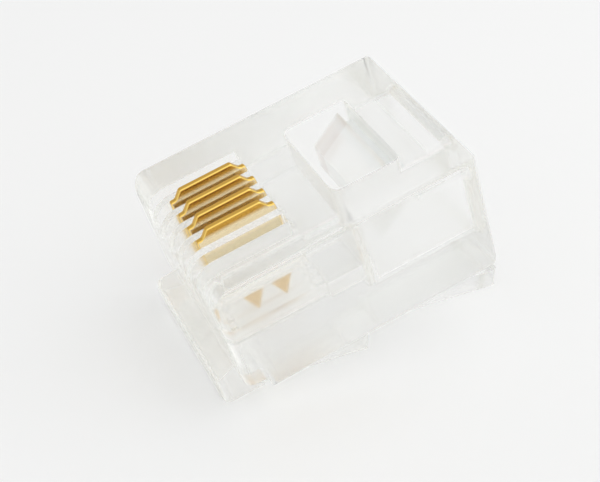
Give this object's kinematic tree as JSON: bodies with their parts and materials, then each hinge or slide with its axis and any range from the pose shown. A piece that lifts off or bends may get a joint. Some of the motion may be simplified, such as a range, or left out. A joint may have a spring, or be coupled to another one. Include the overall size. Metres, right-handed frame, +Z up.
{
  "type": "six position modular plug",
  "caption": "Clear one-piece modular plug with gold insulation-piercing contacts in slots at its nose, a springy latch and a cable entry, uncrimped and lying on its latch.",
  "frame": {"origin": "on the surface that the plug lies on, under the middle of its box", "axes": "+X along the latch from the nose to the cable end, +Y across the plug, +Z up from the surface"},
  "size_m": [0.0154, 0.0096, 0.0099],
  "materials": {
    "clear_plastic": "clear, glossy, injection moulded polycarbonate",
    "gold_contact": "gold plated, stamped"
  },
  "bodies": {
    "housing": {"housing": "clear_plastic"},
    "latch": {"latch": "clear_plastic"},
    "contact_1": {"contact_1": "gold_contact"},
    "contact_2": {"contact_2": "gold_contact"},
    "contact_3": {"contact_3": "gold_contact"},
    "contact_4": {"contact_4": "gold_contact"}
  },
  "joints": [
    {"name": "latch_hinge", "type": "hinge", "parent": "housing", "child": "latch", "pos_m": [-0.00475, 0, 0.00055], "axis": [0, -1, 0], "range_deg": [0, 15], "stiffness_Nm_per_rad": 0.25},
    {"name": "contact_1_slide", "type": "slide", "parent": "housing", "child": "contact_1", "axis": [0.2756, 0, -0.9613], "range_m": [0, 0.00115]},
    {"name": "contact_2_slide", "type": "slide", "parent": "housing", "child": "contact_2", "axis": [0.2756, 0, -0.9613], "range_m": [0, 0.00115]},
    {"name": "contact_3_slide", "type": "slide", "parent": "housing", "child": "contact_3", "axis": [0.2756, 0, -0.9613], "range_m": [0, 0.00115]},
    {"name": "contact_4_slide", "type": "slide", "parent": "housing", "child": "contact_4", "axis": [0.2756, 0, -0.9613], "range_m": [0, 0.00115]}
  ]
}
